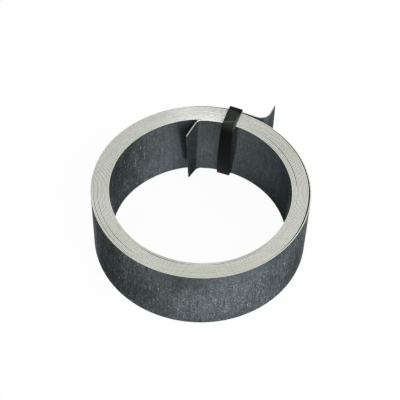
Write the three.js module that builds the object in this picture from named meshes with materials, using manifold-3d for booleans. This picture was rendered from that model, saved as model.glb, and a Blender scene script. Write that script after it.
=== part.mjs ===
// A small coil of galvanised steel strip, standing on its edge faces and tied with one plastic strap.
//
// Millimetres, +Z up. The origin is the middle of the footprint, on the ground.
// The strip is wound clockwise, seen from above, from its inner end to its outer end.
// An angle around the coil is a compass direction, counter-clockwise from +X. A winding angle is
// how far the strip has been wound from its inner root.

import * as THREE from 'three';
import { mergeVertices } from 'three/addons/utils/BufferGeometryUtils.js';
import Module from 'manifold-3d';

const TURN = 2 * Math.PI;
const degrees = THREE.MathUtils.degToRad;

// Strip
const STRIP_WIDTH = 50;
const STRIP_THICKNESS = 0.75;

// Winding
const FULL_TURNS = 14;
const ROOT_RADIUS = 58.02; // inner face of the first turn, where the inner end leaves it
const ROOT_DIRECTION = degrees(90);
const END_DIRECTION = degrees(66); // where the outer end turns straight
const MEAN_PITCH = 0.853; // from one turn to the next, on average
const PITCH_SWING = 0.043; // looser by this at the back, tighter by this at the front
const WINDING_END = FULL_TURNS * TURN + ROOT_DIRECTION - END_DIRECTION;

// The bore is a little out of round, less and less so towards the outermost turn
const BORE_OVALITY = 0.16;
const BORE_LONG_DIRECTION = degrees(150);

// Every turn is pressed in where the coil has been set down on a hard edge
const FLAT_DEPTH = 0.44;
const FLAT_DIRECTION = degrees(124);
const FLAT_HALF_SPAN = degrees(33);

// The last turn springs away from the coil over part of its length, and again where it ends
const LOOSE_GAP = 0.5;
const LOOSE_MIDDLE = WINDING_END - TURN + degrees(60);
const LOOSE_HALF_SPAN = degrees(66);
const END_LIFT = 0.85;
const END_LIFT_SPAN = degrees(36);

// Groove between turns, on both edge faces
const GROOVE_DEPTH = 0.5;
const GROOVE_WIDTH = 0.24;

// Inner end: bent in across the bore, and cut at a slant
const INNER_BEND_RADIUS = 5.75;
const INNER_BEND = degrees(64.7);
const INNER_TOP_LENGTH = 12.9;
const INNER_BOTTOM_LENGTH = 6.8;

// Outer end: straight off the coil, then flared away from it
const OUTER_STRAIGHT = 7.6;
const OUTER_BEND_RADIUS = 6.8;
const OUTER_BEND = degrees(88);
const OUTER_FLARE = 8;

// Strap
const STRAP_DIRECTION = degrees(72.4);
const STRAP_WIDTH = 9;
const STRAP_THICKNESS = 0.8;
const STRAP_GAP = 0.3; // clear of the strip all round
const STRAP_OUTER_SLACK = 1.7; // more room where the outer end springs against it
const STRAP_OUTER_TWIST = degrees(3); // its outer leg turns this far, out at its left as the bore sees it
const STRAP_FOLD_SLACK = 1.5; // more room where it folds over into the bore
const STRAP_FOOT_SLACK = 0.9; // more room where it turns under the coil, inside the bore
const STRAP_FOLD = 2.6; // how far back from each corner its bend starts: over the bore,
const STRAP_SHOULDER = 2; // over the outermost turn,
const STRAP_CORNER = 0.9; // and under the coil
const STRAP_LEAN = 1.9; // its foot stands this far round from its top
const STRAP_BOW = 3; // its leg in the bore bows this far away from the wall
const LAP_LENGTH = 24;

// Where the axis of the coil stands, from the middle of the footprint
const AXIS = new THREE.Vector3(0, -2.1, STRAP_THICKNESS + STRAP_GAP);

// Facets
const STEPS_PER_TURN = 60;
const STEPS_PER_BEND = 8;
const STEPS_PER_LEG = 6; // along each leg of the strap
const CUT_MARGIN = 1; // a cutter reaches this far past what it cuts

const wasm = await Module();
wasm.setup();

// --- solids ---

function toSolid(geometry) {
  const bare = geometry.index ? geometry.toNonIndexed() : geometry.clone();
  bare.deleteAttribute('normal');
  bare.deleteAttribute('uv');
  const merged = mergeVertices(bare, 1e-5);
  const mesh = new wasm.Mesh({
    numProp: 3,
    vertProperties: new Float32Array(merged.attributes.position.array),
    triVerts: new Uint32Array(merged.index.array),
  });
  return new wasm.Manifold(mesh);
}

function toGeometry(solid) {
  const mesh = solid.getMesh();
  const geometry = new THREE.BufferGeometry();
  geometry.setAttribute('position', new THREE.BufferAttribute(mesh.vertProperties, 3));
  geometry.setIndex(new THREE.BufferAttribute(mesh.triVerts, 1));
  geometry.computeVertexNormals();
  return geometry;
}

function prism(shape, depth, bottom = 0) {
  const geometry = new THREE.ExtrudeGeometry(shape, { depth, bevelEnabled: false });
  return geometry.translate(0, 0, bottom);
}

// --- the winding ---

const directionAt = (winding) => ROOT_DIRECTION - winding;

// 1 in the middle of a stretch, and smoothly down to 0 at both its ends
const swell = (reach) => (Math.abs(reach) < 1 ? Math.cos((reach * Math.PI) / 2) ** 2 : 0);

// Radius of the strip's inner face, if every turn lay on the one before
function seatRadius(winding) {
  const direction = directionAt(winding);
  const pitch = MEAN_PITCH + PITCH_SWING * Math.sin(direction);
  const oval = BORE_OVALITY * Math.cos(2 * (direction - BORE_LONG_DIRECTION)) * (1 - winding / WINDING_END);
  const fromFlat = THREE.MathUtils.euclideanModulo(direction - FLAT_DIRECTION + Math.PI, TURN) - Math.PI;
  return ROOT_RADIUS + (pitch * winding) / TURN + oval - FLAT_DEPTH * swell(fromFlat / FLAT_HALF_SPAN);
}

// How far the last turn has sprung off its seat
function looseness(winding) {
  const lifting = Math.max(0, 1 - (WINDING_END - winding) / END_LIFT_SPAN);
  return LOOSE_GAP * swell((winding - LOOSE_MIDDLE) / LOOSE_HALF_SPAN) + END_LIFT * lifting ** 2;
}

function pointAt(winding, radius) {
  const direction = directionAt(winding);
  return new THREE.Vector2(radius * Math.cos(direction), radius * Math.sin(direction));
}

// Points along one face of the winding, from one winding angle to another
function faceOfWinding(from, to, radiusAt) {
  const steps = Math.round((Math.abs(to - from) / TURN) * STEPS_PER_TURN);
  return Array.from({ length: steps + 1 }, (_, i) => {
    const winding = from + ((to - from) * i) / steps;
    return pointAt(winding, radiusAt(winding));
  });
}

// --- the free ends ---

// Both faces of a strip end that leaves the coil: straight, then a bend to the left, then straight.
// The left face is the one on the inside of the bend.
function bentEnd(start, heading, straight, bendRadius, bend, length) {
  const left = [];
  const right = [];
  const station = (point, direction) => {
    const across = new THREE.Vector2(-Math.sin(direction), Math.cos(direction));
    left.push(point.clone().addScaledVector(across, STRIP_THICKNESS / 2));
    right.push(point.clone().addScaledVector(across, -STRIP_THICKNESS / 2));
  };
  const along = (direction) => new THREE.Vector2(Math.cos(direction), Math.sin(direction));
  station(start, heading);
  const bendStart = start.clone().addScaledVector(along(heading), straight);
  const centre = bendStart.clone().addScaledVector(along(heading + Math.PI / 2), bendRadius);
  const firstStep = straight > 0 ? 0 : 1;
  for (let i = firstStep; i <= STEPS_PER_BEND; i += 1) {
    const direction = heading + (bend * i) / STEPS_PER_BEND;
    station(centre.clone().addScaledVector(along(direction - Math.PI / 2), bendRadius), direction);
  }
  const bendEnd = centre.clone().addScaledVector(along(heading + bend - Math.PI / 2), bendRadius);
  const tip = bendEnd.clone().addScaledVector(along(heading + bend), length);
  station(tip, heading + bend);
  return { left, right, bendEnd, heading: heading + bend };
}

// The inner end runs on backwards from the root, so it heads counter-clockwise
function innerEnd() {
  const root = pointAt(0, seatRadius(0) + STRIP_THICKNESS / 2);
  return bentEnd(root, ROOT_DIRECTION + TURN / 4, 0, INNER_BEND_RADIUS, INNER_BEND, INNER_TOP_LENGTH);
}

function outerEnd() {
  const radius = seatRadius(WINDING_END) + END_LIFT + STRIP_THICKNESS / 2;
  const root = pointAt(WINDING_END, radius);
  const climb = (2 * END_LIFT) / END_LIFT_SPAN / radius; // how steeply it leaves the coil, as an angle
  const heading = END_DIRECTION - TURN / 4 + climb;
  return bentEnd(root, heading, OUTER_STRAIGHT, OUTER_BEND_RADIUS, OUTER_BEND, OUTER_FLARE);
}

// --- the strip ---

// The whole winding in plan, with both free ends, and the bore as a hole
function plan() {
  const tail = outerEnd();
  const outside = faceOfWinding(
    WINDING_END - TURN,
    WINDING_END,
    (winding) => seatRadius(winding) + looseness(winding) + STRIP_THICKNESS,
  );
  const tab = innerEnd();
  const inside = faceOfWinding(0, TURN, seatRadius);
  const shape = new THREE.Shape([...outside.slice(0, -1), ...tail.left, ...tail.right.reverse()]);
  const bore = [...inside, ...tab.right, ...tab.left.slice(1).reverse()];
  shape.holes.push(new THREE.Path(bore.reverse())); // a hole runs the other way round
  return shape;
}

// The line between one turn and the next, in equal steps of angle
class Seam extends THREE.Curve {
  getPoint(t, target = new THREE.Vector3()) {
    const winding = THREE.MathUtils.lerp(TURN, WINDING_END, t);
    const point = pointAt(winding, seatRadius(winding));
    return target.set(point.x, point.y, 0);
  }

  getUtoTmapping(u) {
    return u;
  }
}

// A V that follows the seam, its point towards the middle of the strip's width.
// Swept along a level curve, the section's x runs down and its y runs across.
function grooveCutter(height, downward) {
  const reach = downward ? GROOVE_DEPTH : -GROOVE_DEPTH;
  const section = new THREE.Shape([
    new THREE.Vector2(reach, 0),
    new THREE.Vector2(-reach, GROOVE_WIDTH),
    new THREE.Vector2(-reach, -GROOVE_WIDTH),
  ]);
  const steps = Math.round(((WINDING_END - TURN) / TURN) * STEPS_PER_TURN);
  const geometry = new THREE.ExtrudeGeometry(section, { steps, extrudePath: new Seam() });
  return geometry.translate(0, 0, height);
}

// The open slot behind a stretch of the last turn that has sprung away
function slotBehind(from, to) {
  const near = faceOfWinding(from, to, (winding) => {
    const below = winding - TURN;
    return seatRadius(below) + looseness(below) + STRIP_THICKNESS;
  });
  const far = faceOfWinding(to, from, (winding) => seatRadius(winding) + looseness(winding));
  return prism(new THREE.Shape([...near, ...far]), STRIP_WIDTH + 2 * CUT_MARGIN, -CUT_MARGIN);
}

// A wedge that takes the lower corner off the inner end
function slantCutter() {
  const { bendEnd, heading } = innerEnd();
  const slope = (INNER_TOP_LENGTH - INNER_BOTTOM_LENGTH) / STRIP_WIDTH;
  const past = INNER_TOP_LENGTH + CUT_MARGIN;
  const wedge = new THREE.Shape([
    new THREE.Vector2(INNER_BOTTOM_LENGTH - slope * CUT_MARGIN, -CUT_MARGIN),
    new THREE.Vector2(past, -CUT_MARGIN),
    new THREE.Vector2(past, STRIP_WIDTH + slope),
    new THREE.Vector2(INNER_TOP_LENGTH, STRIP_WIDTH),
  ]);
  const geometry = prism(wedge, 4 * STRIP_THICKNESS, -2 * STRIP_THICKNESS);
  geometry.rotateX(Math.PI / 2);
  geometry.rotateZ(heading);
  return geometry.translate(bendEnd.x, bendEnd.y, 0);
}

function stripGeometry() {
  let solid = toSolid(prism(plan(), STRIP_WIDTH));
  const cutters = [
    grooveCutter(STRIP_WIDTH, true),
    grooveCutter(0, false),
    slotBehind(LOOSE_MIDDLE - LOOSE_HALF_SPAN, LOOSE_MIDDLE + LOOSE_HALF_SPAN),
    slotBehind(WINDING_END - END_LIFT_SPAN, WINDING_END),
    slantCutter(),
  ];
  for (const cutter of cutters) {
    solid = solid.subtract(toSolid(cutter));
  }
  return toGeometry(solid);
}

// --- the strap ---

// The strap's loop, this far out from its inner face: x is the distance from the coil's axis and
// y is the height. Each corner comes with how far back from it the middle of the band starts to bend.
function loopCorners(out) {
  const wall = seatRadius(ROOT_DIRECTION - STRAP_DIRECTION);
  const flatOnWall = Math.sqrt(wall ** 2 - (STRAP_WIDTH / 2 + STRAP_LEAN) ** 2);
  const inside = flatOnWall - STRAP_GAP - out;
  const outside = seatRadius(WINDING_END) + STRIP_THICKNESS + STRAP_GAP + STRAP_OUTER_SLACK + out;
  const foot = -STRAP_GAP - out;
  const top = STRIP_WIDTH + STRAP_GAP + out;
  return [
    { place: new THREE.Vector2(inside - STRAP_FOOT_SLACK, foot), reach: STRAP_CORNER },
    { place: new THREE.Vector2(outside, foot), reach: STRAP_CORNER },
    { place: new THREE.Vector2(outside, top), reach: STRAP_SHOULDER },
    { place: new THREE.Vector2(inside - STRAP_FOLD_SLACK, top), reach: STRAP_FOLD },
  ];
}

// The closed outline of that loop, with rounded corners and with each leg in short steps
function loopOutline(out) {
  const corners = loopCorners(out);
  const toward = (from, to, distance) => from.clone().add(to.clone().sub(from).setLength(distance));
  const runs = corners.map(({ place, reach }, i) => {
    const before = corners[(i + 3) % 4].place;
    const after = corners[(i + 1) % 4].place;
    const bend = reach + out - STRAP_THICKNESS / 2;
    return new THREE.QuadraticBezierCurve(toward(place, before, bend), place, toward(place, after, bend));
  });
  return runs.flatMap((run, i) => {
    const leg = new THREE.LineCurve(run.v2, runs[(i + 1) % 4].v0);
    return [...run.getPoints(STEPS_PER_BEND), ...leg.getPoints(STEPS_PER_LEG).slice(1, -1)];
  });
}

// Leans the band over, bows its inner leg and turns its outer leg. Its x runs out from the coil's
// axis and its z runs up.
function settle(geometry) {
  const inside = loopCorners(STRAP_THICKNESS)[3].place.x;
  const outside = loopCorners(STRAP_THICKNESS)[2].place.x;
  const points = geometry.attributes.position;
  for (let i = 0; i < points.count; i += 1) {
    const side = points.getY(i);
    const height = THREE.MathUtils.clamp(points.getZ(i) / STRIP_WIDTH, 0, 1);
    const outward = (points.getX(i) - inside) / (outside - inside);
    const turned = Math.tan(STRAP_OUTER_TWIST) * side * outward;
    const bowed = outward < 0.5 ? STRAP_BOW * 4 * height * (1 - height) : 0;
    points.setX(i, points.getX(i) + turned - bowed);
    points.setY(i, side + STRAP_LEAN * (1 - height));
  }
  geometry.computeVertexNormals();
  return geometry;
}

// The band, with its ends lapped and welded on the outside of the coil
function strapGeometry() {
  const outline = new THREE.Shape(loopOutline(STRAP_THICKNESS));
  outline.holes.push(new THREE.Path(loopOutline(0).reverse()));
  const loop = toSolid(prism(outline, STRAP_WIDTH, -STRAP_WIDTH / 2));
  const face = loopCorners(STRAP_THICKNESS)[1].place.x;
  const middle = STRIP_WIDTH / 2;
  const lap = new THREE.Shape([
    new THREE.Vector2(face - STRAP_THICKNESS / 2, middle - LAP_LENGTH / 2),
    new THREE.Vector2(face + STRAP_THICKNESS, middle - LAP_LENGTH / 2),
    new THREE.Vector2(face + STRAP_THICKNESS, middle + LAP_LENGTH / 2),
    new THREE.Vector2(face - STRAP_THICKNESS / 2, middle + LAP_LENGTH / 2),
  ]);
  const geometry = toGeometry(loop.add(toSolid(prism(lap, STRAP_WIDTH, -STRAP_WIDTH / 2))));
  return settle(geometry.rotateX(Math.PI / 2));
}

// --- the model ---

const coil = new THREE.Group();
coil.position.copy(AXIS);

const strip = new THREE.Mesh(
  stripGeometry(),
  new THREE.MeshStandardMaterial({ color: 0x5b6366, roughness: 0.45, metalness: 0.9 }),
);
strip.name = 'steel_strip';
coil.add(strip);

const strap = new THREE.Mesh(
  strapGeometry(),
  new THREE.MeshStandardMaterial({ color: 0x1b1b1a, roughness: 0.5, metalness: 0 }),
);
strap.name = 'strap';
strap.rotation.z = STRAP_DIRECTION;
coil.add(strap);

export default coil;
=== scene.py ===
"""Dresses a small coil of galvanised steel strip: the strip, its plastic strap and a plain studio.

The coil's sizes are in millimetres in the settings groups, as a maker would give them, and the
meshes are made in metres. The strip is wound clockwise, seen from above, from its inner end to its
outer end. A direction is a compass angle round the coil, counter-clockwise from +X. A winding angle
is how far the strip has been wound from its inner root.
"""

import math

import bpy
from mathutils import Matrix, Vector, noise


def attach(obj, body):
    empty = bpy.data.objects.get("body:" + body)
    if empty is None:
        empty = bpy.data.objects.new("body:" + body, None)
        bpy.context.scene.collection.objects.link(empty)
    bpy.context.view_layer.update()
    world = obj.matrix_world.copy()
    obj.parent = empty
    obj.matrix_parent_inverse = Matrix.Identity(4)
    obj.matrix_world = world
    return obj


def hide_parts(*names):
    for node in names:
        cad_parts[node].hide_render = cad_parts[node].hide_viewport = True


bl_info = {
    "name": "Steel strip coil",
    "version": (1, 0, 0),
    "blender": (4, 5, 0),
    "location": "View3D > Sidebar > Coil",
    "description": "Builds a strapped coil of galvanised steel strip and a studio to show it in",
    "category": "Add Mesh",
}

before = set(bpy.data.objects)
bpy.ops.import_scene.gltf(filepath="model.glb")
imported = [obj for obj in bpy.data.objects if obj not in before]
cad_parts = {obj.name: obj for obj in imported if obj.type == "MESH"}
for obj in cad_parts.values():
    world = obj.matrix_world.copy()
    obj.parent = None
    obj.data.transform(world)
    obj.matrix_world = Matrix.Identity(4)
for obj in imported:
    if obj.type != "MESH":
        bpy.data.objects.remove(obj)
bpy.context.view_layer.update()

MM = 0.001
TURN = 2 * math.pi
BODY = "root"

# The winding, in millimetres
GROOVE = 1.5  # how deep the gaps between turns are made
LOOSE_GROOVE = 18  # deeper by this for each millimetre that a turn stands off
BEND_STEPS = 18
STRAIGHT_STEP = 1.2
EDGE_ROUND = 0.22  # radius of the rolled corners of the slit edge
CROWN = 8  # points over one edge of a section
SLIT_FACETS = (2, 3, 4)  # of the facets between them, the bare ones
FACE_SLOT, EDGE_SLOT = 0, 1
STRIP_SHARP = math.radians(20)

# How far the strip has slid along the axis: millimetres, waves to a radian, row of the noise
SLIDES = ((0.11, 1.3, 5.0), (0.03, 9, 1.0))

# The strap
BAND_STEP = 2  # the longest facet along the band, in millimetres
LAP_RISE = 3  # how far below the lap the band starts to step out, in millimetres
STRAP_SHARP = math.radians(35)
BAND_RIM = (  # round the band's section, as shares of its width and its thickness
    (-0.5, -0.3),
    (-0.5, 0.3),
    (-0.47, 0.5),
    (0.47, 0.5),
    (0.5, 0.3),
    (0.5, -0.3),
    (0.47, -0.5),
    (-0.47, -0.5),
)

# The studio, in metres
LAMP_AIM = (0, 0, 0.02)
KEY_PLACE, KEY_SIDE = (0.002, 0.8, 0.98), 0.06
SIDE_PLACE, SIDE_SIDE = (0.8, -1.0, 0.85), 1.2
WHITE = (1, 1, 1, 1)
PAPER = (0.85, 0.85, 0.85, 1)
FLOOR_GLOW = 0.96  # how far the floor is white to the camera, the rest being its shadowed paper
CLIP_START, CLIP_END = 0.01, 50
SENSOR_MM = 36
FRAME_PIXELS = 400


# --- settings ---


def millimetres(name, description, default):
    return bpy.props.FloatProperty(name=name, description=description, default=default)


def number(name, description, default, **kind):
    return bpy.props.FloatProperty(name=name, description=description, default=default, **kind)


def angle(name, description, degrees):
    radians = math.radians(degrees)
    return bpy.props.FloatProperty(
        name=name, description=description, default=radians, subtype="ANGLE", unit="ROTATION"
    )


def colour(name, description, default):
    return bpy.props.FloatVectorProperty(
        name=name, description=description, default=default, size=3, min=0, max=1, subtype="COLOR"
    )


class StripSettings(bpy.types.PropertyGroup):
    """Sizes of the strip and of its winding, in millimetres"""

    axis_y: millimetres("Axis Y", "Where the coil's axis stands in the footprint", -2.1)
    lift: millimetres("Lift", "Height of the strip's lower edge above the ground", 1.1)
    width: millimetres("Width", "Width of the strip, which is the height of the coil", 50)
    thickness: millimetres("Thickness", "Thickness of the strip", 0.75)
    full_turns: bpy.props.IntProperty(
        name="Full turns", description="Whole turns in the coil", default=14
    )
    root_radius: millimetres("Root radius", "Inner face of the first turn, at the inner root", 58.02)
    root_direction: angle("Root direction", "Where the inner end leaves the first turn", 90)
    end_direction: angle("End direction", "Where the outer end turns straight", 66)
    mean_pitch: millimetres("Mean pitch", "From one turn to the next, on average", 0.853)
    pitch_swing: millimetres("Pitch swing", "Looser by this at the back and tighter at the front", 0.043)
    bore_ovality: millimetres("Bore ovality", "Longer than round by this, either way from the middle", 0.16)
    bore_long_direction: angle("Bore's long direction", "Which way the bore is longest", 150)
    flat_depth: millimetres("Flat depth", "How far the coil is pressed in at its flat spot", 0.44)
    flat_direction: angle("Flat direction", "Where the flat spot is", 124)
    flat_half_span: angle("Flat half span", "How far the flat spot reaches either way", 33)
    loose_gap: millimetres("Loose gap", "How far the last turn springs off the coil", 0.5)
    end_lift: millimetres("End lift", "How far the outer end has lifted where it turns straight", 0.85)
    end_lift_span: angle("End lift span", "How far back from there the lift starts", 36)
    inner_bend_radius: millimetres("Inner bend radius", "Bend at the inner root", 5.75)
    inner_bend: angle("Inner bend", "How far the inner end is bent", 64.7)
    inner_top: millimetres("Inner end, top", "Length of the inner end along its top edge", 12.9)
    inner_bottom: millimetres("Inner end, bottom", "Length of the inner end along its bottom edge", 6.8)
    inner_twist: angle("Inner end, twist", "How much further its bottom edge is bent", -7)
    outer_straight: millimetres("Outer straight", "Straight run of the outer end off the coil", 7.6)
    outer_bend_radius: millimetres("Outer bend radius", "Bend of the outer end", 6.8)
    outer_bend: angle("Outer bend", "How far the outer end is flared", 88)
    outer_flare: millimetres("Outer flare", "Length of the outer end past its bend", 8.0)


class StrapSettings(bpy.types.PropertyGroup):
    """Sizes of the plastic strap, in millimetres"""

    direction: angle("Direction", "Where the strap goes round the coil's section", 72.4)
    width: millimetres("Width", "Width of the band", 9)
    thickness: millimetres("Thickness", "Thickness of the band", 0.8)
    gap: millimetres("Gap", "Clearance from the strip", 0.3)
    outer_slack: millimetres("Outer slack", "More room where the outer end springs against it", 1.7)
    outer_twist: angle(
        "Outer twist", "How far its outer leg turns, out at its left as the bore sees it", 3
    )
    fold_slack: millimetres("Fold slack", "More room where it folds over into the bore", 1.5)
    foot_slack: millimetres("Foot slack", "More room where it turns under the coil", 0.9)
    fold: millimetres("Fold", "How far back from the corner over the bore the bend starts", 2.6)
    corner: millimetres("Corner", "How far back from the other corners the bend starts", 0.9)
    shoulder: millimetres("Shoulder", "How far back from the top outer corner the bend starts", 2)
    lean: millimetres("Lean", "How far its foot stands round from its top", 1.9)
    bow: millimetres("Bow", "How far its leg in the bore bows away from the wall", 3)
    lap: millimetres("Lap", "Length of the welded lap on the outside", 24)


class FinishSettings(bpy.types.PropertyGroup):
    """Colours of the object's materials, and where the coil's axis stands"""

    axis_y: millimetres("Axis Y", "Where the rings of the slit edges are centred", -2.1)

    # The two zinc colours are also the lit and the shaded ends of the painted light and shade on the face
    zinc: colour("Zinc", "Galvanised face where it is cleanest", (0.163, 0.192, 0.207))
    dull_and_shaded_zinc: colour("Dull zinc", "Galvanised face where it has dulled most", (0.091, 0.105, 0.106))
    stain: number("Stain", "How dark the mottling is beside the face", 0.46, subtype="FACTOR")
    zinc_speck: colour("Zinc speck", "Light specks and scuffs on the face", (0.44, 0.48, 0.48))
    # The two edge colours are also the lit and the shaded ends of the painted light and shade round the
    # ring
    cut_edge: colour("Cut edge", "Bare slit edge where it is cleanest", (0.66, 0.677, 0.622))
    dull_and_shaded_edge: colour("Dull edge", "Slit edge where it has dulled most", (0.546, 0.546, 0.464))
    band: colour("Band", "Black strapping", (0.004, 0.0044, 0.004))
    # The dusty band colour is also painted light over the band's top, and the scuffed one also painted
    # highlights at its fold and along one edge
    band_dusty_and_lit: colour("Dusty band", "Strapping where dust has settled on it", (0.02, 0.0225, 0.017))
    band_scuffed_and_highlit: colour("Scuffed band", "Strapping where it is creased or rubbed", (0.085, 0.086, 0.075))


class StageSettings(bpy.types.PropertyGroup):
    """The floor, the lamps and the camera"""

    floor_half: number("Floor", "Half the floor's side", 3, unit="LENGTH")
    world_strength: number("Sky", "Strength of the even sky light", 0.18)
    key_power: number("Key", "Power of the overhead softbox, in watts", 3.3)
    side_power: number("Side", "Power of the side softbox, in watts", 18)
    view_elevation: angle("View elevation", "How far above the horizon the camera looks from", 51.96)
    view_roll: angle("View roll", "Roll of the camera", 1.89)
    view_distance: millimetres("View distance", "From the camera to the coil's middle", 780.5)
    focal_pixels: number("Focal length", "In pixels of a 400 pixel frame", 1189.8)
    centre_column: number("Centre column", "Pixel column of the coil's middle", 200.16)
    centre_row: number("Centre row", "Pixel row of the coil's middle", 211.8)


# --- shader expressions ---


class Term:
    """A number socket of a material, which Python arithmetic turns into Math nodes."""

    def __init__(self, finish, socket):
        self.finish = finish
        self.socket = socket

    def math(self, operation, *others):
        node = self.finish.node("ShaderNodeMath", {"operation": operation}, [self, *others])
        return Term(self.finish, node.outputs[0])

    def __add__(self, other):
        return self.math("ADD", other)

    __radd__ = __add__

    def __sub__(self, other):
        return self.math("SUBTRACT", other)

    def __rsub__(self, other):
        return self.finish.number(other).math("SUBTRACT", self)

    def __mul__(self, other):
        return self.math("MULTIPLY", other)

    __rmul__ = __mul__

    def __truediv__(self, other):
        return self.math("DIVIDE", other)

    def __pow__(self, other):
        return self.math("POWER", other)

    def clamped(self):
        return self.math("MINIMUM", 1).math("MAXIMUM", 0)

    def ramp(self, low, high):
        """0 below low, 1 above high, and smooth between them. A low above high turns it round."""
        return self.finish.step(self, low, high)


class Finish:
    """A procedural material under construction."""

    def __init__(self, name, **constants):
        self.material = bpy.data.materials.new(name)
        self.material.use_nodes = True
        self.tree = self.material.node_tree
        self.shader = self.tree.nodes["Principled BSDF"]
        for socket, value in constants.items():
            self.shader.inputs[socket.replace("_", " ")].default_value = value

    def node(self, kind, settings=None, inputs=None):
        """Adds a node, makes its settings, then gives its sockets their values or links."""
        node = self.tree.nodes.new(kind)
        for key, value in (settings or {}).items():
            setattr(node, key, value)
        pairs = inputs.items() if isinstance(inputs, dict) else enumerate(inputs or ())
        for key, value in pairs:
            self.feed(node.inputs[key], value)
        return node

    def feed(self, socket, value):
        source = value.socket if isinstance(value, Term) else value
        if isinstance(source, bpy.types.NodeSocket):
            self.tree.links.new(source, socket)
        else:
            socket.default_value = source

    def number(self, value):
        node = self.node("ShaderNodeMath", {"operation": "ADD"}, [value, 0])
        return Term(self, node.outputs[0])

    def step(self, value, low, high):
        node = self.node(
            "ShaderNodeMapRange", {"interpolation_type": "SMOOTHSTEP"}, [value, low, high, 0, 1]
        )
        return Term(self, node.outputs[0])

    def position(self, scale=(1, 1, 1), offset=(0, 0, 0)):
        """The object's own coordinates, in millimetres times scale."""
        place = self.node("ShaderNodeTexCoord").outputs["Object"]
        per_metre = tuple(s / MM for s in scale)
        node = self.node("ShaderNodeVectorMath", {"operation": "MULTIPLY_ADD"}, [place, per_metre, offset])
        return node.outputs[0]

    def parts(self, vector):
        """The three coordinates of a vector, each as a number."""
        return [Term(self, socket) for socket in self.node("ShaderNodeSeparateXYZ", {}, [vector]).outputs]

    def level(self):
        """1 where the surface lies level, either way up, and 0 where it slopes by 22 degrees or more."""
        normal = self.node("ShaderNodeTexCoord").outputs["Normal"]
        return self.parts(normal)[2].math("ABSOLUTE").ramp(0.93, 0.98)

    def radius(self, axis_y):
        """How far out from the coil's axis, in millimetres."""
        x, y, _ = self.parts(self.position(offset=(0, -axis_y, 0)))
        return (x * x + y * y) ** 0.5

    def rings(self, axis_y, along=5):
        """Coordinates that run out from the axis, in millimetres, and hardly change along a turn."""
        x, y, z = self.parts(self.position(offset=(0, -axis_y, 0)))
        radius = self.radius(axis_y)
        along_x, along_y = along * x / radius, along * y / radius
        return self.node("ShaderNodeCombineXYZ", {}, [radius, along_x, along_y + z]).outputs[0]

    def noise(self, vector, size, detail=2, roughness=0.5):
        """Noise around 0.5, whose lumps are this many units of the vector across."""
        inputs = {"Vector": vector, "Scale": 1 / size, "Detail": detail, "Roughness": roughness}
        node = self.node("ShaderNodeTexNoise", {"noise_dimensions": "3D"}, inputs)
        return Term(self, node.outputs["Fac"])

    def cells(self, vector, size):
        """Distance to the nearest point of a random scatter, this many units apart."""
        node = self.node("ShaderNodeTexVoronoi", {}, {"Vector": vector, "Scale": 1 / size})
        return Term(self, node.outputs["Distance"])

    def mix(self, factor, low, high):
        node = self.node("ShaderNodeMix", {"data_type": "RGBA"})
        self.feed(node.inputs["Factor"], factor)
        self.feed(node.inputs[6], low if not hasattr(low, "__len__") else (*low, 1))
        self.feed(node.inputs[7], high if not hasattr(high, "__len__") else (*high, 1))
        return node.outputs[2]

    def drive(self, socket, value):
        self.feed(self.shader.inputs[socket], value)

    def relief(self, height, depth_mm):
        """Bump from a height between 0 and 1 that stands for this many millimetres."""
        inputs = {"Height": height, "Distance": depth_mm * MM, "Strength": 1}
        node = self.node("ShaderNodeBump", {}, inputs)
        self.drive("Normal", node.outputs["Normal"])


def scaled(colour, factor):
    return tuple(factor * part for part in colour)


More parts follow.
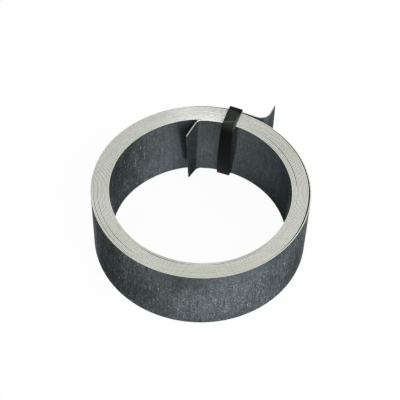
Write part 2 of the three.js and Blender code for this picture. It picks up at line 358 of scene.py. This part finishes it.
def zinc_finish(finish):
    """Dull, passivated zinc: faintly mottled, with light specks and scuffs across the strip, and painted
    light and shade in large patches and down the bore.
    """
    tint = (0.13, 0.13, 0.13, 1)
    zinc = Finish("galvanised_face", Metallic=0.45, Specular_IOR_Level=0.0, Specular_Tint=tint)
    here = zinc.position()
    radius = zinc.radius(finish.axis_y)
    # Painted light and shade: large lighter and darker patches, placed so the face is darker on the left
    # and lighter at the front right
    painted_light_and_shade_patches = zinc.noise(zinc.position(offset=(2240, 1120, 70)), 70, detail=1).ramp(0.36, 0.74)
    x, _, z = zinc.parts(here)
    # Painted light and shade in the bore: lighter towards the bottom on its left and back and darker
    # towards the top, the reverse on its right, and darker over its right-hand stretch
    painted_floor_bounce = (z.ramp(46, 6) - 0.5) * (x.ramp(50, 0) - 0.5)
    bore = radius.ramp(60, 59)
    inner_end = radius.ramp(57.3, 56)
    outer_end = radius.ramp(73, 76)
    right = x.ramp(14, 30) * x.ramp(54, 44)
    painted_bore_shading = bore * (1.6 * painted_floor_bounce - 0.25 * right)
    # The painted light and shade, with the outer end made lighter and the inner end darker
    tone_and_painted_light = (painted_light_and_shade_patches + painted_bore_shading + 0.5 * outer_end - 0.45 * inner_end).clamped()
    handled = zinc.noise(zinc.position(offset=(4700, 5400, 3500)), 100, detail=0).ramp(0.26, 0.44)
    stains = zinc.noise(here, 16, detail=3, roughness=0.6)
    mottle = zinc.noise(zinc.position((1, 1, 0.5)), 2.2, detail=4, roughness=0.7)
    grain = zinc.noise(zinc.position((1, 1, 0.6), offset=(4, 4, 4)), 0.75, detail=2, roughness=0.7)
    streaks = zinc.noise(zinc.position((1, 1, 0.06), offset=(3, 31, 5)), 1.3, detail=3, roughness=0.6)
    dust = zinc.cells(zinc.position((1, 1, 0.6), offset=(7, 3, 11)), 0.95)
    crowding = zinc.noise(zinc.position(offset=(40, 9, 2)), 7, detail=3, roughness=0.6)
    specks = dust.ramp(0.34, 0.14) * (crowding + 0.3 * (grain - 0.5)).ramp(0.44, 0.62)
    scratch = zinc.noise(zinc.position((1, 1, 0.12), offset=(13, 1, 5)), 0.85, detail=1)
    scuffs = scratch.ramp(0.67, 0.76)
    pattern = 0.1 * stains + 0.2 * mottle + 0.48 * grain + 0.22 * streaks
    strength = 0.5 + 0.5 * handled + 0.7 * inner_end
    tone = (0.5 + strength * (pattern - 0.5)).ramp(0.425, 0.575)
    # The darker copy is dulled zinc and painted shade, the lighter one bright zinc and painted light
    dull_and_shaded = zinc.mix(tone, scaled(finish.dull_and_shaded_zinc, finish.stain), tuple(finish.dull_and_shaded_zinc))
    bright = zinc.mix(tone, scaled(finish.zinc, finish.stain), tuple(finish.zinc))
    crowded = ((1.1 - 0.25 * bore) * specks + (0.65 + 0.3 * bore) * scuffs).clamped()
    marks = (0.1 + 0.9 * handled) * (0.45 + 0.55 * tone_and_painted_light) * crowded
    zinc.drive("Base Color", zinc.mix(marks, zinc.mix(tone_and_painted_light, dull_and_shaded, bright), tuple(finish.zinc_speck)))
    rim = z.ramp(49.9, 50.6)  # the rolled corner at the top, which would glint
    zinc.drive("Roughness", 0.12 + 0.06 * mottle + 0.1 * handled + 0.15 * marks + 0.4 * rim)
    zinc.relief(0.6 * mottle + 0.4 * grain, 0.012)
    return zinc.material


def edge_finish(finish):
    """The slit edge: bare pale steel, a little duller in places and at its ends, with painted light and
    shade in large patches round the ring.
    """
    edge = Finish("slit_edge", IOR=1.5)
    radius = edge.radius(finish.axis_y)
    ends = (radius.ramp(57.3, 56.3) + radius.ramp(72.7, 73.7)).clamped()
    drag = edge.noise(edge.rings(finish.axis_y, along=0.6), 0.16, detail=2, roughness=0.6)
    turns = edge.noise(edge.rings(finish.axis_y), 0.9, detail=1)
    # Large lighter and darker patches round the ring: part tone, part painted light and shade
    tone_and_painted_light = edge.noise(edge.position(offset=(2150, 1200, 2500)), 50, detail=1)
    dirt = edge.noise(edge.position(offset=(5, 5, 5)), 6, detail=4, roughness=0.65)
    tone = (0.18 * drag + 0.24 * turns + 0.48 * tone_and_painted_light + 0.1 * dirt).ramp(0.32, 0.68)
    base = edge.mix(tone, tuple(finish.dull_and_shaded_edge), tuple(finish.cut_edge))
    edge.drive("Base Color", edge.mix(ends, base, scaled(finish.dull_and_shaded_edge, 0.75)))
    matt = (ends + (1 - edge.level())).clamped()
    edge.drive("Roughness", 0.085 + 0.04 * drag + 0.04 * dirt + 0.35 * matt)
    return edge.material


def band_finish(finish, direction):
    """Black strapping: darkest down the bore, lighter over the top with dust and painted light, and pale
    where it is creased and along one edge, worn and with painted highlights.
    """
    band = Finish("black_strapping", IOR=1.5, Specular_IOR_Level=0.04)
    x, y, z = band.parts(band.position(offset=(0, -finish.axis_y, 0)))
    radial = math.cos(direction) * x + math.sin(direction) * y
    across = math.cos(direction) * y - math.sin(direction) * x
    streaks = band.noise(band.position((6, 1, 1)), 3, detail=3)
    dust = band.noise(band.position(offset=(2, 8, 1)), 1.2, detail=3, roughness=0.7)
    # Dust and painted light: the band is lighter over the top of the coil, where it faces up
    settled_and_lit = z.ramp(46, 52.2) * (radial - 0.3 * across).ramp(70.2, 69.2)
    # Wear and painted highlights: a pale line where the band folds over the bore's rim, and a pale strip
    # along one edge of the band over the top and down the bore
    crease_and_highlight = (radial + 0.37 * across - 59.4).math("ABSOLUTE").ramp(0.8, 0.3)
    rubbed_and_highlit = across.ramp(-3.1, -3.8) * radial.ramp(68, 65)
    wear_and_highlights = (settled_and_lit * (0.8 * crease_and_highlight + rubbed_and_highlit) + 0.12 * rubbed_and_highlit) * dust.ramp(0.3, 0.6)
    dust_and_light = band.mix(settled_and_lit, tuple(finish.band), tuple(finish.band_dusty_and_lit))
    band.drive("Base Color", band.mix(wear_and_highlights.clamped(), dust_and_light, tuple(finish.band_scuffed_and_highlit)))
    band.drive("Roughness", 0.36 + 0.22 * dust)
    band.relief(streaks, 0.015)
    return band.material


# --- the winding ---


class Winding:
    """Where each point of the strip's length lies in plan, in millimetres from the coil's axis."""

    STEPS = 180  # to a turn

    # Wider gaps: whole turns below the gap, direction and half span in degrees, extra width
    GAPS = (
        (13, 340, 36, 0.22),
        (12, 206, 34, 0.12),
        (9, 212, 40, 0.11),
        (4, 20, 45, 0.1),
        (2, 248, 24, 0.25),
        (2, 295, 26, 0.20),
        (1, 300, 24, 0.15),
    )
    SNUG_GAP = 0.03
    LOOSE_MIDDLE = math.radians(60)  # from under the outer end to the middle of the loose stretch
    LOOSE_HALF_SPAN = math.radians(66)

    def __init__(self, strip):
        self.strip = strip
        self.step = TURN / self.STEPS
        self.end = strip.full_turns * TURN + strip.root_direction - strip.end_direction
        self.count = round(self.end / self.step)
        self.seats = self.pack()

    def direction(self, winding):
        return self.strip.root_direction - winding

    def pitch(self, winding):
        return self.strip.mean_pitch + self.strip.pitch_swing * math.sin(self.direction(winding))

    def seat(self, winding):
        """Radius of the strip's inner face in an evenly packed coil that is a little out of round."""
        strip = self.strip
        direction = self.direction(winding)
        oval = strip.bore_ovality * math.cos(2 * (direction - strip.bore_long_direction))
        reach = math.remainder(direction - strip.flat_direction, TURN) / strip.flat_half_span
        flat = strip.flat_depth * math.cos(reach * math.pi / 2) ** 2 if abs(reach) < 1 else 0
        packed = strip.root_radius + self.pitch(winding) * winding / TURN
        return packed + oval * (1 - winding / self.end) - flat

    def gap(self, winding):
        """Width of the gap under the strip at this winding angle, before it is fitted to the pitch."""
        width = self.SNUG_GAP * (1 + 0.6 * noise.noise(Vector((3 * winding, 0, 0))))
        for turn, direction, half_span, most in self.GAPS:
            middle = turn * TURN + (self.strip.root_direction - math.radians(direction)) % TURN
            reach = (winding - middle) / math.radians(half_span)
            if abs(reach) < 1:
                width += most * math.cos(reach * math.pi / 2) ** 2
        return width

    def pack(self):
        """Radius of the strip's inner face at each step, each turn on the one below it."""
        turns = self.strip.full_turns
        seats = []
        for i in range(self.count + 1):
            winding = i * self.step
            column = winding % TURN
            if i < self.STEPS:
                seats.append(self.seat(winding))
                continue
            first, last = column, column + (turns - 1) * TURN
            room = self.seat(last) - self.seat(first) - (turns - 1) * self.strip.thickness
            wanted = sum(self.gap(column + k * TURN) for k in range(1, turns))
            seats.append(seats[i - self.STEPS] + self.strip.thickness + self.gap(winding) * room / wanted)
        return seats

    def looseness(self, winding):
        """How far the last turn has sprung off its seat."""
        reach = (winding - (self.end - TURN + self.LOOSE_MIDDLE)) / self.LOOSE_HALF_SPAN
        sprung = self.strip.loose_gap * math.cos(reach * math.pi / 2) ** 2 if abs(reach) < 1 else 0
        lifting = max(0, 1 - (self.end - winding) / self.strip.end_lift_span)
        return sprung + self.strip.end_lift * lifting**2


class Station:
    """One cross-section of the strip: its middle in plan, the way outward across it, and its lift."""

    def __init__(self, middle, outward, lift=0.0, foot=None, groove=None):
        self.middle = middle
        self.outward = outward
        self.lift = lift
        self.foot = foot or middle
        self.groove = groove


def toward(direction):
    return Vector((math.cos(direction), math.sin(direction)))


def unevenness(winding):
    """How far this stretch of the strip has slid along the axis, in millimetres."""
    return sum(size * noise.noise(Vector((waves * winding, row, 0))) for size, waves, row in SLIDES)


def wound_stations(winding):
    half = winding.strip.thickness / 2
    stations = []
    for i, seat in enumerate(winding.seats):
        at = i * winding.step
        loose = winding.looseness(at)
        outward = toward(winding.direction(at))
        middle = outward * (seat + loose + half)
        stations.append(Station(middle, outward, unevenness(at), groove=GROOVE + LOOSE_GROOVE * loose))
    return stations


def inner_end_stations(winding):
    """From the slanted tip to the root, without the root itself."""
    strip = winding.strip
    root = toward(strip.root_direction) * (strip.root_radius + strip.thickness / 2)
    heading = strip.root_direction + TURN / 4
    centre = root + toward(heading + TURN / 4) * strip.inner_bend_radius
    lift = unevenness(0)
    stations = []
    for i in range(1, BEND_STEPS + 1):
        direction = heading + strip.inner_bend * i / BEND_STEPS
        middle = centre + toward(direction - TURN / 4) * strip.inner_bend_radius
        stations.append(Station(middle, toward(direction - TURN / 4), lift))
    bend_end = stations[-1].middle
    direction = heading + strip.inner_bend
    steps = math.ceil(strip.inner_top / STRAIGHT_STEP)
    for i in range(1, steps + 1):
        head = bend_end + toward(direction) * strip.inner_top * i / steps
        foot = bend_end + toward(direction + strip.inner_twist) * strip.inner_bottom * i / steps
        stations.append(Station(head, toward(direction - TURN / 4), lift, foot=foot))
    return stations[::-1]


def outer_end_stations(winding):
    """From the root, left out, along the straight run and round the flare to the tip."""
    strip = winding.strip
    root = toward(strip.end_direction) * (winding.seats[-1] + strip.end_lift + strip.thickness / 2)
    heading = strip.end_direction - TURN / 4 + 2 * strip.end_lift / strip.end_lift_span / winding.seats[-1]
    lift = unevenness(winding.end)
    stations = []
    steps = math.ceil(strip.outer_straight / STRAIGHT_STEP)
    for i in range(1, steps + 1):
        middle = root + toward(heading) * strip.outer_straight * i / steps
        stations.append(Station(middle, toward(heading + TURN / 4), lift))
    centre = stations[-1].middle + toward(heading + TURN / 4) * strip.outer_bend_radius
    for i in range(1, BEND_STEPS + 1):
        direction = heading + strip.outer_bend * i / BEND_STEPS
        middle = centre + toward(direction - TURN / 4) * strip.outer_bend_radius
        stations.append(Station(middle, toward(direction + TURN / 4), lift))
    direction = heading + strip.outer_bend
    bend_end = stations[-1].middle
    steps = math.ceil(strip.outer_flare / STRAIGHT_STEP)
    for i in range(1, steps + 1):
        middle = bend_end + toward(direction) * strip.outer_flare * i / steps
        stations.append(Station(middle, toward(direction + TURN / 4), lift))
    return stations


# --- the strip's mesh ---


def crown(thickness, groove):
    """Points over the top edge from its inner face to its outer face: across, and below the edge."""
    half = thickness / 2
    slope = EDGE_ROUND * (1 - math.sqrt(0.5))
    side = [(half, groove), (half, EDGE_ROUND), (half - slope, slope), (half - EDGE_ROUND, 0)]
    return [(-across, down) for across, down in side] + side[::-1]


def section(station, strip):
    """The ring of points of one section: over the top edge, then back under the bottom edge."""
    groove = GROOVE if station.groove is None else station.groove
    ring = []
    profile = crown(strip.thickness, groove)
    for across, down in profile:
        place = station.middle + station.outward * across
        ring.append((place.x, place.y, strip.width - down + station.lift))
    for across, down in reversed(profile):
        place = station.foot + station.outward * across
        ring.append((place.x, place.y, down + station.lift))
    return ring


def strip_mesh(strip):
    winding = Winding(strip)
    inner = inner_end_stations(winding)
    wound = wound_stations(winding)
    outer = outer_end_stations(winding)
    stations = inner + wound + outer
    first = len(inner)
    last = first + winding.count
    points = [point for station in stations for point in section(station, strip)]
    points = [(x * MM, (y + strip.axis_y) * MM, (z + strip.lift) * MM) for x, y, z in points]
    faces = []
    slots = []

    def vertex(station, point):
        return station * 2 * CROWN + point % (2 * CROWN)

    def add(face, slot):
        faces.append(face)
        slots.append(slot)

    outer_face, inner_face = CROWN - 1, 2 * CROWN - 1
    for i in range(len(stations) - 1):
        for p in range(2 * CROWN):
            covered_outside = p == outer_face and first <= i < last - winding.STEPS
            covered_inside = p == inner_face and first + winding.STEPS <= i < last
            if covered_outside or covered_inside:
                continue
            quad = (vertex(i, p), vertex(i, p + 1), vertex(i + 1, p + 1), vertex(i + 1, p))
            add(quad[::-1], EDGE_SLOT if p % CROWN in SLIT_FACETS else FACE_SLOT)
    # the floors of the gaps between one turn and the next
    for i in range(first, last - winding.STEPS):
        above = i + winding.STEPS
        below, beside = vertex(i, outer_face), vertex(i + 1, outer_face)
        add((beside, vertex(above + 1, 0), vertex(above, 0), below), FACE_SLOT)
        foot, seat = CROWN, inner_face
        below, beside = vertex(i, foot), vertex(i + 1, foot)
        add((vertex(above, seat), vertex(above + 1, seat), beside, below), FACE_SLOT)
    # where the gap opens beside the inner root and under the outer end
    for i in (first, last - winding.STEPS):
        above = i + winding.STEPS
        quad = (vertex(i, outer_face), vertex(i, CROWN), vertex(above, inner_face), vertex(above, 0))
        add(quad if i == first else quad[::-1], FACE_SLOT)
    add(tuple(range(2 * CROWN)), FACE_SLOT)
    add(tuple(vertex(len(stations) - 1, p) for p in reversed(range(2 * CROWN))), FACE_SLOT)

    mesh = bpy.data.meshes.new("wound_strip")
    mesh.from_pydata(points, [], faces)
    mesh.polygons.foreach_set("material_index", slots)
    return finished(mesh, STRIP_SHARP)


def finished(mesh, sharp_angle):
    mesh.validate()
    mesh.shade_smooth()
    mesh.set_sharp_from_angle(angle=sharp_angle)
    mesh.update()
    return mesh


def add_piece(name, mesh, node, materials):
    piece = bpy.data.objects.new(name, mesh)
    bpy.context.scene.collection.objects.link(piece)
    for material in materials:
        mesh.materials.append(material)
    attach(piece, BODY)
    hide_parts(node)
    return piece


# --- the strap's mesh ---


def rounded_run(corners, steps=8):
    """Points along a polyline. Each corner is a place, and how far back from it the bend starts."""
    places = [place for place, reach in corners]
    points = [places[0]]
    for before, (corner, reach), after in zip(places, corners[1:], places[2:]):
        enter = corner + (before - corner).normalized() * reach
        leave = corner + (after - corner).normalized() * reach
        for i in range(steps + 1):
            t = i / steps
            points.append(enter * (1 - t) ** 2 + corner * 2 * t * (1 - t) + leave * t**2)
    points.append(places[-1])
    return points


def shortened(points, longest):
    """The same path, with points added so that no step is longer than this."""
    path = [points[0]]
    for before, after in zip(points, points[1:]):
        steps = math.ceil((after - before).length / longest)
        path += [before.lerp(after, i / steps) for i in range(1, steps + 1)]
    return path


def strap_mesh(strap, strip):
    winding = Winding(strip)
    half = strap.thickness / 2
    wall = winding.seats[round((strip.root_direction - strap.direction) / winding.step)]
    flat_on_wall = math.sqrt(wall**2 - (strap.width / 2 + strap.lean) ** 2)
    inside = flat_on_wall - strap.gap - half
    outside = winding.seats[-1] + strip.thickness + strap.gap + strap.outer_slack + half
    foot = -strap.gap - half
    top = strip.width + strap.gap + half
    lap_low = (strip.width - strap.lap) / 2
    lap_high = lap_low + strap.lap
    over = outside + strap.thickness
    corners = [
        (Vector((outside, lap_low)), 0),
        (Vector((outside, top)), strap.shoulder),
        (Vector((inside - strap.fold_slack, top)), strap.fold),
        (Vector((inside - strap.foot_slack, foot)), strap.corner),
        (Vector((outside, foot)), strap.corner),
        (Vector((outside, lap_low - LAP_RISE)), strap.corner),
        (Vector((over, lap_low)), strap.corner),
        (Vector((over, lap_high)), 0),
    ]
    path = shortened(rounded_run(corners), BAND_STEP)
    radial = toward(strap.direction)
    sideways = toward(strap.direction + TURN / 4)
    points = []
    faces = []
    for i, place in enumerate(path):
        ahead = path[min(i + 1, len(path) - 1)] - path[max(i - 1, 0)]
        across = Vector((ahead.y, -ahead.x)).normalized()
        for side, depth in BAND_RIM:
            spot = place + across * depth * strap.thickness
            height = min(max(spot.y / strip.width, 0), 1)
            slide = side * strap.width + strap.lean * (1 - height)
            outward = (spot.x - inside) / (outside - inside)
            twist = math.tan(strap.outer_twist) * side * strap.width * outward
            bow = strap.bow * 4 * height * (1 - height) if outward < 0.5 else 0
            plan = radial * (spot.x + twist - bow) + sideways * slide
            points.append((plan.x * MM, (plan.y + strip.axis_y) * MM, (spot.y + strip.lift) * MM))
    ring = len(BAND_RIM)
    for i in range(len(path) - 1):
        for p in range(ring):
            q = (p + 1) % ring
            faces.append((i * ring + p, i * ring + q, (i + 1) * ring + q, (i + 1) * ring + p))
    faces.append(tuple(reversed(range(ring))))
    faces.append(tuple((len(path) - 1) * ring + p for p in range(ring)))
    mesh = bpy.data.meshes.new("strap_band")
    mesh.from_pydata(points, [], faces)
    return finished(mesh, STRAP_SHARP)


# --- operators ---


class COIL_OT_strip(bpy.types.Operator):
    """Wind the galvanised strip, with both of its free ends"""

    bl_idname = "coil.strip"
    bl_label = "Wound strip"

    def execute(self, context):
        scene = context.scene
        materials = [zinc_finish(scene.coil_finish), edge_finish(scene.coil_finish)]
        mesh = strip_mesh(scene.coil_strip)
        add_piece("wound_strip", mesh, "steel_strip", materials)
        return {"FINISHED"}


class COIL_OT_strap(bpy.types.Operator):
    """Put the plastic strap round the coil's section"""

    bl_idname = "coil.strap"
    bl_label = "Strap"

    def execute(self, context):
        scene = context.scene
        mesh = strap_mesh(scene.coil_strap, scene.coil_strip)
        material = band_finish(scene.coil_finish, scene.coil_strap.direction)
        add_piece("strap_band", mesh, "strap", [material])
        return {"FINISHED"}


def add_softbox(name, place, side, power):
    data = bpy.data.lights.new(name, "AREA")
    data.shape = "SQUARE"
    data.size = side
    data.energy = power
    lamp = bpy.data.objects.new(name, data)
    lamp.location = place
    lamp.rotation_euler = (Vector(LAMP_AIM) - Vector(place)).to_track_quat("-Z", "Y").to_euler()
    bpy.context.scene.collection.objects.link(lamp)


def add_floor(half):
    mesh = bpy.data.meshes.new("floor")
    corners = [(-half, -half, 0), (half, -half, 0), (half, half, 0), (-half, half, 0)]
    mesh.from_pydata(corners, [], [(0, 1, 2, 3)])
    floor = bpy.data.objects.new("floor", mesh)
    bpy.context.scene.collection.objects.link(floor)
    paper = Finish("floor_paper", Roughness=0.9)
    paper.shader.inputs["Base Color"].default_value = PAPER
    paper.shader.inputs["Specular IOR Level"].default_value = 0.1
    glow = paper.node("ShaderNodeEmission", {}, {"Color": WHITE, "Strength": 1.0})
    seen = paper.node("ShaderNodeLightPath").outputs
    camera = Term(paper, seen["Is Camera Ray"])
    glossy = Term(paper, seen["Is Glossy Ray"])
    clear = Term(paper, seen["Is Transmission Ray"])
    share = FLOOR_GLOW * (camera + glossy + clear).clamped()
    blend = paper.node("ShaderNodeMixShader", {}, [share, paper.shader.outputs[0], glow.outputs[0]])
    paper.tree.links.new(blend.outputs[0], paper.tree.nodes["Material Output"].inputs["Surface"])
    mesh.materials.append(paper.material)


def add_world(strength):
    world = bpy.data.worlds.new("studio")
    world.use_nodes = True
    tree = world.node_tree
    background = tree.nodes["Background"]
    background.inputs["Color"].default_value = WHITE
    background.inputs["Strength"].default_value = strength
    bright = tree.nodes.new("ShaderNodeBackground")
    bright.inputs["Color"].default_value = WHITE
    seen = tree.nodes.new("ShaderNodeLightPath")
    direct = None
    for ray in ("Is Camera Ray", "Is Glossy Ray", "Is Transmission Ray"):
        either = tree.nodes.new("ShaderNodeMath")
        either.operation = "MAXIMUM"
        tree.links.new(seen.outputs[ray], either.inputs[0])
        if direct:
            tree.links.new(direct, either.inputs[1])
        direct = either.outputs[0]
    blend = tree.nodes.new("ShaderNodeMixShader")
    tree.links.new(direct, blend.inputs[0])
    tree.links.new(background.outputs[0], blend.inputs[1])
    tree.links.new(bright.outputs[0], blend.inputs[2])
    tree.links.new(blend.outputs[0], tree.nodes["World Output"].inputs["Surface"])
    bpy.context.scene.world = world


def add_camera(stage, strip):
    elevation = stage.view_elevation
    ahead = Vector((0, math.cos(elevation), -math.sin(elevation)))
    level_right = Vector((1, 0, 0))
    level_up = level_right.cross(ahead)
    cos_roll, sin_roll = math.cos(stage.view_roll), math.sin(stage.view_roll)
    right = level_right * cos_roll + level_up * sin_roll
    up = level_up * cos_roll - level_right * sin_roll
    per_pixel = stage.view_distance / stage.focal_pixels
    across = (stage.centre_column - FRAME_PIXELS / 2) * per_pixel
    below = (stage.centre_row - FRAME_PIXELS / 2) * per_pixel
    middle = Vector((0, strip.axis_y, strip.lift + strip.width / 2))
    place = middle - ahead * stage.view_distance - right * across + up * below
    data = bpy.data.cameras.new("camera")
    data.sensor_width = SENSOR_MM
    data.lens = stage.focal_pixels / FRAME_PIXELS * SENSOR_MM
    data.clip_start = CLIP_START
    data.clip_end = CLIP_END
    camera = bpy.data.objects.new("camera", data)
    turn = Matrix((right, up, -ahead)).transposed().to_4x4()
    camera.matrix_world = Matrix.Translation(place * MM) @ turn
    bpy.context.scene.collection.objects.link(camera)
    bpy.context.scene.camera = camera


class COIL_OT_stage(bpy.types.Operator):
    """Set up the floor, the lamps, the sky and the camera"""

    bl_idname = "coil.stage"
    bl_label = "Studio"

    def execute(self, context):
        scene = context.scene
        stage = scene.coil_stage
        add_camera(stage, scene.coil_strip)
        add_floor(stage.floor_half)
        add_world(stage.world_strength)
        add_softbox("key", KEY_PLACE, KEY_SIDE, stage.key_power)
        add_softbox("side", SIDE_PLACE, SIDE_SIDE, stage.side_power)
        scene.view_settings.view_transform = "Standard"
        return {"FINISHED"}


class COIL_PT_panel(bpy.types.Panel):
    """Buttons for the coil's pieces and its studio"""

    bl_label = "Steel strip coil"
    bl_idname = "COIL_PT_panel"
    bl_space_type = "VIEW_3D"
    bl_region_type = "UI"
    bl_category = "Coil"

    def draw(self, context):
        for operator in OPERATORS:
            self.layout.operator(operator.bl_idname)


OPERATORS = (COIL_OT_strip, COIL_OT_strap, COIL_OT_stage)
GROUPS = {
    "coil_strip": StripSettings,
    "coil_strap": StrapSettings,
    "coil_finish": FinishSettings,
    "coil_stage": StageSettings,
}


def register():
    for cls in (*GROUPS.values(), *OPERATORS, COIL_PT_panel):
        bpy.utils.register_class(cls)
    for name, group in GROUPS.items():
        setattr(bpy.types.Scene, name, bpy.props.PointerProperty(type=group))


def unregister():
    for name in GROUPS:
        delattr(bpy.types.Scene, name)
    for cls in reversed((*GROUPS.values(), *OPERATORS, COIL_PT_panel)):
        bpy.utils.unregister_class(cls)


def main():
    register()
    bpy.ops.coil.strip()
    bpy.ops.coil.strap()
    bpy.ops.coil.stage()


if __name__ == "__main__":
    main()
